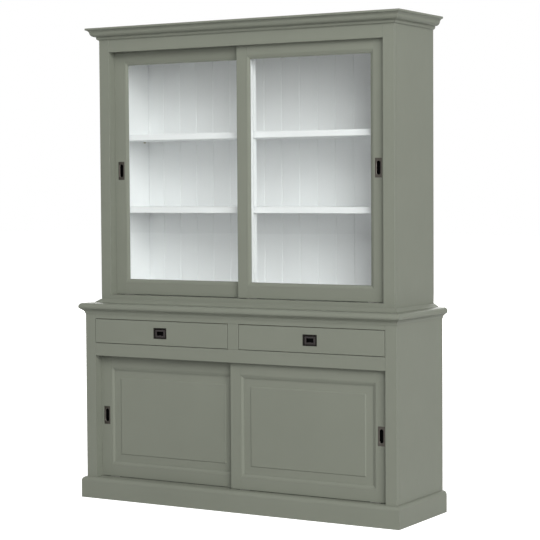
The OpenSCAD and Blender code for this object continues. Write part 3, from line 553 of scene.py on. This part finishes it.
class FinishBook:
    """Makes each material once and hands it out by name."""

    def __init__(self) -> None:
        """Open the book with nothing made yet."""
        self.made: dict[str, bpy.types.Material] = {}

    def take(self, finish: Finish) -> bpy.types.Material:
        """Give a finish's material.

        Args:
            finish: The finish.

        Returns:
            The material, made on first use.
        """
        if finish.name not in self.made:
            self.made[finish.name] = finish.material()
        return self.made[finish.name]

    def paint(self, grain: Grain) -> bpy.types.Material:
        """Give the outside's grey-green paint, brushed along a direction."""
        name = f"grey_green_paint_{grain.name.lower()}"
        return self.take(PaintFinish(name, GREY_GREEN, grain))

    def white(self, grain: Grain) -> bpy.types.Material:
        """Give the inside's white paint, brushed along a direction."""
        return self.take(PaintFinish(f"white_paint_{grain.name.lower()}", WHITE, grain))

    def timber(self, grain: Grain) -> bpy.types.Material:
        """Give bare timber with its grain along a direction."""
        return self.take(TimberFinish(f"timber_{grain.name.lower()}", grain))

    def plate(self) -> bpy.types.Material:
        """Give the rubbed bronze of the door pulls' plates."""
        return self.take(BronzeFinish("rubbed_bronze", dark=(0.070, 0.064, 0.055),
                                      rubbed=(0.28, 0.255, 0.215)))

    def ring(self) -> bpy.types.Material:
        """Give the oiled bronze of the drawers' rings."""
        return self.take(BronzeFinish("oiled_bronze", dark=(0.040, 0.036, 0.035),
                                      rubbed=(0.15, 0.13, 0.12)))

    def backplate(self) -> bpy.types.Material:
        """Give the darker bronze of the plates behind the rings."""
        return self.take(BronzeFinish("dark_bronze", dark=(0.012, 0.011, 0.009),
                                      rubbed=(0.07, 0.065, 0.055)))

    def cup_shade(self) -> bpy.types.Material:
        """Give near-black bronze as painted shade for the inside of the pulls' cups."""
        # Near-black and without sheen: painted shade standing in for the cup's deep
        # hollow
        return self.take(BronzeFinish("painted_cup_shade", dark=(0.002, 0.002, 0.002),
                                      rubbed=(0.006, 0.006, 0.006), metallic=0.0,
                                      sheen=0.02))

    def glass(self) -> bpy.types.Material:
        """Give the doors' glass."""
        return self.take(GlassFinish("clear_glass"))

    def nylon(self) -> bpy.types.Material:
        """Give the glides' nylon."""
        return self.take(PlainFinish("nylon", (0.72, 0.71, 0.66), metallic=0.0,
                                     roughness=Span(0.40, 0.53)))

    def brass(self) -> bpy.types.Material:
        """Give the shelf pins' dull brass."""
        return self.take(PlainFinish("turned_brass", (0.52, 0.44, 0.31), metallic=1.0,
                                     roughness=Span(0.33, 0.46)))


@dataclass(frozen=True)
class Easing:
    """How a piece's sharp edges are rounded over, as by sanding or paint.

    Edges that turn by more than the angle are eased. A soft piece is shaded
    smoothly over them. A split piece first has its faces with hollow outlines
    cut into convex ones, so that none of them folds over itself.
    """

    width: float
    steps: int = 2
    angle: float = math.radians(20)
    soft: bool = True
    split: bool = False


BOARD_EDGES = Easing(1.2 * MM)
MOULDING_EDGES = Easing(0.6 * MM)


@dataclass(frozen=True)
class Patch:
    """Part of a piece that has a finish of its own."""

    material: bpy.types.Material
    chosen: Chooser


def facing(axis: Axis) -> Chooser:
    """Choose the faces that look along an axis.

    Args:
        axis: The direction.

    Returns:
        A test of a face's normal and middle.
    """
    return lambda normal, middle: normal.dot(Vector(axis.value)) > FACING_COSINE


def behind(depth: float) -> Chooser:
    """Choose the faces that lie further back than a plane.

    Args:
        depth: The plane's Y.

    Returns:
        A test of a face's normal and middle.
    """
    return lambda normal, middle: middle.y > depth


def right_of(plane: float) -> Chooser:
    """Choose the faces that lie further right than a plane.

    Args:
        plane: The plane's X.

    Returns:
        A test of a face's normal and middle.
    """
    return lambda normal, middle: middle.x > plane


def below(height: float) -> Chooser:
    """Choose the faces that lie lower than a plane.

    Args:
        height: The plane's Z.

    Returns:
        A test of a face's normal and middle.
    """
    return lambda normal, middle: middle.z < height


@dataclass
class Dresser:
    """Shows CAD nodes as eased copies in their finishes."""

    book: FinishBook
    shown: list[str] = field(default_factory=list)

    def body(self, node: str) -> str:
        """Name the body that a node rides on.

        Args:
            node: The CAD node.

        Returns:
            The body's name.
        """
        bodies = frame["record"]["behaviour"]["bodies"]
        return next(name for name, nodes in bodies.items() if node in nodes)

    def reach(self, node: str, axis: Axis) -> Vector:
        """Find a node's furthest point in a direction.

        Args:
            node: The CAD node.
            axis: The direction.

        Returns:
            The point.
        """
        points = (vertex.co for vertex in frame["nodes"][node].data.vertices)
        return max(points, key=Vector(axis.value).dot)

    def solid(self, node: str, split: bool) -> bmesh.types.BMesh:
        """Copy a node's mesh, welded and with its flat faces made whole.

        Args:
            node: The CAD node.
            split: Whether faces with hollow outlines are split into convex ones.

        Returns:
            The copied mesh.
        """
        mesh = bmesh.new()
        mesh.from_mesh(frame["nodes"][node].data)
        bmesh.ops.remove_doubles(mesh, verts=mesh.verts, dist=WELD_DISTANCE)
        bmesh.ops.dissolve_limit(mesh, angle_limit=FLAT_ANGLE, verts=mesh.verts,
                                 edges=mesh.edges)
        if split:
            bmesh.ops.connect_verts_concave(mesh, faces=mesh.faces)
        bmesh.ops.recalc_face_normals(mesh, faces=mesh.faces)
        return mesh

    def show(self, name: str, mesh: bpy.types.Mesh, node: str) -> bpy.types.Object:
        """Put a mesh on show in place of a node.

        Args:
            name: The new piece's name.
            mesh: Its mesh, in the row frame.
            node: The node that it stands for.

        Returns:
            The new object.
        """
        piece = bpy.data.objects.new(name, mesh)
        bpy.context.scene.collection.objects.link(piece)
        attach(piece, self.body(node))
        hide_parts(node)
        self.shown.append(name)
        LOG.info("%s: %d faces, on %s", name, len(mesh.polygons), self.body(node))
        return piece

    def ease(self, node: str, material: bpy.types.Material, easing: Easing,
             *patches: Patch) -> None:
        """Show a node as a copy whose edges are eased.

        Args:
            node: The CAD node.
            material: Its main finish.
            easing: How its edges are rounded over.
            *patches: Parts with a finish of their own.
        """
        solid = self.solid(node, easing.split)
        for face in solid.faces:
            middle = face.calc_center_median()
            for index, patch in enumerate(patches, start=1):
                if patch.chosen(face.normal, middle):
                    face.material_index = index
        mesh = bpy.data.meshes.new(f"{node}_eased")
        solid.to_mesh(mesh)
        solid.free()
        for finish in (material, *(patch.material for patch in patches)):
            mesh.materials.append(finish)
        piece = self.show(f"{node}_dressed", mesh, node)
        bevel = piece.modifiers.new("eased_edges", "BEVEL")
        bevel.width = easing.width
        bevel.segments = easing.steps
        bevel.limit_method = "ANGLE"
        bevel.angle_limit = easing.angle
        bevel.use_clamp_overlap = True
        if easing.soft:
            mesh.shade_smooth()
            flats = piece.modifiers.new("flat_faces_stay_flat", "WEIGHTED_NORMAL")
            flats.mode = "FACE_AREA"
            flats.weight = FLAT_WEIGHT
            flats.keep_sharp = False

    def keep(self, node: str, material: bpy.types.Material) -> None:
        """Leave a node on show and give it a finish.

        Args:
            node: The CAD node.
            material: Its finish.
        """
        mesh = frame["nodes"][node].data
        mesh.materials.clear()
        mesh.materials.append(material)
        LOG.info("%s: kept", node)


@dataclass
class Carcass:
    """The fixed boards, frames and mouldings of base and hutch."""

    dresser: Dresser
    board: Easing = BOARD_EDGES
    fine: Easing = MOULDING_EDGES
    pin: Easing = Easing(0.3 * MM, 1)

    def build(self) -> None:
        """Dress every fixed piece."""
        self.build_painted()
        self.build_white()
        self.build_timber()

    def build_painted(self) -> None:
        """Dress the grey-green pieces, with the hutch's sides white inside."""
        book, ease = self.dresser.book, self.dresser.ease
        upright, level = book.paint(Grain.ALONG_Z), book.paint(Grain.ALONG_X)
        for side, inwards in (("left", Axis.RIGHT), ("right", Axis.LEFT)):
            lining = Patch(book.white(Grain.ALONG_Z), facing(inwards))
            ease(f"base_side_{side}", upright, self.board)
            ease(f"hutch_side_{side}", upright, self.board, lining)
        for node in ("base_face_frame", "hutch_face_frame"):
            ease(node, upright, self.board)
        for node in ("worktop", "plinth", "hutch_top"):
            ease(node, level, self.board)
        for node in ("bed_moulding", "cornice", "hutch_foot_moulding",
                     "lower_door_tracks", "upper_door_tracks"):
            ease(node, level, self.fine)

    def build_white(self) -> None:
        """Dress the white pieces inside the hutch."""
        book, ease = self.dresser.book, self.dresser.ease
        for node in ("hutch_bottom", "hutch_shelf_lower", "hutch_shelf_upper"):
            ease(node, book.white(Grain.ALONG_X), self.board)
        for node in ("centre_posts", "hutch_back_boards"):
            ease(node, book.white(Grain.ALONG_Z), self.fine)

    def build_timber(self) -> None:
        """Dress the bare timber and the shelf pins."""
        book, ease = self.dresser.book, self.dresser.ease
        for node in ("base_bottom", "base_shelf", "base_back", "base_dust_board"):
            ease(node, book.timber(Grain.ALONG_X), self.fine)
        for node in ("base_partition", "drawer_guides"):
            ease(node, book.timber(Grain.ALONG_Y), self.fine)
        hutch_foot = self.dresser.reach("worktop", Axis.UP).z
        battens = Patch(book.timber(Grain.ALONG_X), below(hutch_foot))
        ease("shelf_supports", book.brass(), self.pin, battens)
        self.dresser.keep("locating_dowels", book.timber(Grain.ALONG_Z))


@dataclass
class Door(ABC):
    """One sliding door, with its frame, its filling, its pull and its glides.

    Its cup is painted near-black as painted shade, from the cup depth behind the face.
    """

    dresser: Dresser
    name: str
    board: Easing = BOARD_EDGES
    fine: Easing = Easing(0.4 * MM)
    casting: Easing = Easing(0.5 * MM)
    glide: Easing = Easing(0.8 * MM)
    cup_depth: float = 1.6 * MM

    def build(self) -> None:
        """Dress every piece of the door."""
        self.build_frame()
        book, ease = self.dresser.book, self.dresser.ease
        # The cup's faces behind the face get painted shade, a near-black finish
        cup = Patch(book.cup_shade(), behind(self.face + self.cup_depth))
        ease(f"{self.name}_pull", book.plate(), self.casting, cup)
        ease(f"{self.name}_glides", book.nylon(), self.glide)

    @abstractmethod
    def build_frame(self) -> None:
        """Dress the stiles and rails and what they hold."""

    @property
    def face(self) -> float:
        """The Y of the door's front."""
        return self.dresser.reach(f"{self.name}_stiles", Axis.FRONT).y

    @property
    def end(self) -> float:
        """The X of the door's right end."""
        return self.dresser.reach(f"{self.name}_stiles", Axis.RIGHT).x


@dataclass
class GlassDoor(Door):
    """A door of the hutch, white on its inner face.

    What lies further behind the door's face than the front beads is white too.
    So is the door's right end, to the depth of a skin, if it is a white end.
    """

    white_end: bool = False
    pane: Easing = Easing(0.4 * MM, 1, soft=False)
    end_skin: float = 1 * MM
    front_beads: float = 12 * MM

    def build_frame(self) -> None:
        """Dress the frame, the beads and the pane."""
        book, ease = self.dresser.book, self.dresser.ease
        white = book.white(Grain.ALONG_Z)
        inside = Patch(white, facing(Axis.BACK))
        rear = Patch(white, behind(self.face + self.front_beads))
        inner_faces = [inside]
        if self.white_end:
            inner_faces.append(Patch(white, right_of(self.end - self.end_skin)))
        ease(f"{self.name}_stiles", book.paint(Grain.ALONG_Z), self.board, *inner_faces)
        ease(f"{self.name}_rails", book.paint(Grain.ALONG_X), self.board, inside)
        ease(f"{self.name}_beads", book.paint(Grain.ALONG_Z), self.fine, rear)
        ease(f"{self.name}_glass", book.glass(), self.pane)


@dataclass
class PanelDoor(Door):
    """A door of the base, with a raised panel."""

    def build_frame(self) -> None:
        """Dress the frame, the panel and its moulding."""
        book, ease = self.dresser.book, self.dresser.ease
        level = book.paint(Grain.ALONG_X)
        ease(f"{self.name}_stiles", book.paint(Grain.ALONG_Z), self.board)
        ease(f"{self.name}_rails", level, self.board)
        ease(f"{self.name}_moulding", level, self.fine)
        ease(f"{self.name}_panel", level, self.fine)


@dataclass
class Drawer:
    """One drawer, with its box, its pull's plate and its ring.

    Its cup is painted near-black as painted shade, from the cup depth behind its face.
    """

    dresser: Dresser
    name: str
    front: Easing = BOARD_EDGES
    box: Easing = Easing(0.8 * MM, split=True)
    casting: Easing = Easing(0.5 * MM)
    ring: Easing = Easing(0.9 * MM, 3)
    cup_depth: float = 1.8 * MM

    def build(self) -> None:
        """Dress every piece of the drawer."""
        book, ease = self.dresser.book, self.dresser.ease
        plate = f"{self.name}_pull_plate"
        face = self.dresser.reach(plate, Axis.FRONT).y
        # The cup's faces behind the plate's face get painted shade, a near-black finish
        cup = Patch(book.cup_shade(), behind(face + self.cup_depth))
        ease(f"{self.name}_front", book.paint(Grain.ALONG_X), self.front)
        ease(f"{self.name}_box", book.timber(Grain.ALONG_Y), self.box)
        ease(plate, book.backplate(), self.casting, cup)
        ease(f"{self.name}_ring", book.ring(), self.ring)


@dataclass(frozen=True)
class Softbox:
    """A square soft light that faces the cabinet's middle.

    The azimuth is its direction from straight ahead to the right and the height
    its direction above the middle, both in degrees. The level is how bright it
    makes a white matt surface that faces it.
    """

    name: str
    azimuth: float
    height: float
    size: float
    level: float
    distance: float = 14.0
    middle: tuple[float, float, float] = (0.0, 0.0, 1.1)

    def hang(self) -> None:
        """Put the light in the scene."""
        turn, tilt = math.radians(self.azimuth), math.radians(self.height)
        aim = Vector((math.sin(turn) * math.cos(tilt), -math.cos(turn) * math.cos(tilt),
                      math.sin(tilt)))
        data = bpy.data.lights.new(self.name, "AREA")
        data.shape = "SQUARE"
        data.size = self.size
        data.energy = self.level * (math.pi * self.distance) ** 2
        lamp = bpy.data.objects.new(self.name, data)
        lamp.location = Vector(self.middle) + aim * self.distance
        lamp.rotation_euler = (-aim).to_track_quat("-Z", "Y").to_euler()
        bpy.context.scene.collection.objects.link(lamp)


@dataclass
class Studio:
    """The pale floor, the soft light and the camera.

    The lens and the sensor are in millimetres, and all else is in metres. The
    glow and the backdrop are what only a straight view of them shows.
    """

    eye: tuple[float, float, float] = (4.1138, -6.7945, 1.4537)
    yaw: float = math.radians(30.78)
    pitch: float = math.radians(2.72)
    roll: float = math.radians(-0.36)
    lens: float = 116.22
    sensor_width: float = 36.0
    clip_end: float = 200.0
    floor_half: float = 40.0
    floor_colour: Colour = (0.6, 0.6, 0.6)
    floor_glow: float = 0.96
    ambient: float = 0.08
    backdrop: float = 1.0
    softboxes: tuple[Softbox, ...] = (
        Softbox("key_softbox", azimuth=50.0, height=20.0, size=9.0, level=0.94),
        Softbox("overhead_softbox", azimuth=10.0, height=42.0, size=10.0, level=0.29),
        Softbox("rear_softbox", azimuth=205.0, height=25.0, size=9.0, level=0.7),
    )

    def camera(self) -> None:
        """Set up the camera where the photograph was taken from."""
        forward = Vector((
            -math.sin(self.yaw) * math.cos(self.pitch),
            math.cos(self.yaw) * math.cos(self.pitch),
            -math.sin(self.pitch),
        ))
        level = Vector((math.cos(self.yaw), math.sin(self.yaw), 0.0))
        rise = level.cross(forward)
        right = level * math.cos(self.roll) + rise * math.sin(self.roll)
        up = rise * math.cos(self.roll) - level * math.sin(self.roll)
        data = bpy.data.cameras.new("photo_camera")
        data.lens = self.lens
        data.sensor_width = self.sensor_width
        data.clip_end = self.clip_end
        camera = bpy.data.objects.new("photo_camera", data)
        turn = Matrix((right, up, -forward)).transposed().to_4x4()
        camera.matrix_world = Matrix.Translation(self.eye) @ turn
        bpy.context.scene.collection.objects.link(camera)
        bpy.context.scene.camera = camera

    def floor(self) -> None:
        """Lay a floor that is white to the camera and keeps a faint shadow."""
        mesh = bpy.data.meshes.new("floor")
        reach = self.floor_half
        corners = [(-reach, -reach, 0), (reach, -reach, 0), (reach, reach, 0),
                   (-reach, reach, 0)]
        mesh.from_pydata(corners, [], [(0, 1, 2, 3)])
        floor = bpy.data.objects.new("floor", mesh)
        bpy.context.scene.collection.objects.link(floor)
        chain = NodeChain.for_material("floor_white")
        matt = chain.add("ShaderNodeBsdfDiffuse", Color=(*self.floor_colour, 1.0))
        seen = chain.work_out("MULTIPLY", chain.straight_view(), self.floor_glow)
        glow = chain.add("ShaderNodeEmission", Strength=seen)
        both = chain.add("ShaderNodeAddShader")
        chain.feed(both.inputs[0], matt.outputs[0])
        chain.feed(both.inputs[1], glow.outputs[0])
        mesh.materials.append(chain.close(both))

    def light(self) -> None:
        """Light the room softly from the right, from above and from behind."""
        for softbox in self.softboxes:
            softbox.hang()
        chain = NodeChain.for_world("studio")
        white = (1.0, 1.0, 1.0, 1.0)
        mixed = chain.add("ShaderNodeMixShader", Fac=chain.straight_view())
        for socket, strength in ((1, self.ambient), (2, self.backdrop)):
            shade = chain.add("ShaderNodeBackground", Color=white, Strength=strength)
            chain.feed(mixed.inputs[socket], shade.outputs[0])
        bpy.context.scene.world = chain.close(mixed)

    def build(self) -> None:
        """Set up the whole studio."""
        self.camera()
        self.floor()
        self.light()
        bpy.context.scene.view_settings.view_transform = "Standard"


def main() -> None:
    """Build the studio and dress the cabinet, one sub-assembly at a time."""
    Studio().build()
    dresser = Dresser(FinishBook())
    Carcass(dresser).build()
    # The left door slides behind the right one, so its right end is an inner face
    GlassDoor(dresser, "upper_left_door", white_end=True).build()
    GlassDoor(dresser, "upper_right_door").build()
    for side in ("left", "right"):
        PanelDoor(dresser, f"lower_{side}_door").build()
        Drawer(dresser, f"{side}_drawer").build()
    LOG.info("%d pieces dressed", len(dresser.shown))


if __name__ == "__main__":
    main()
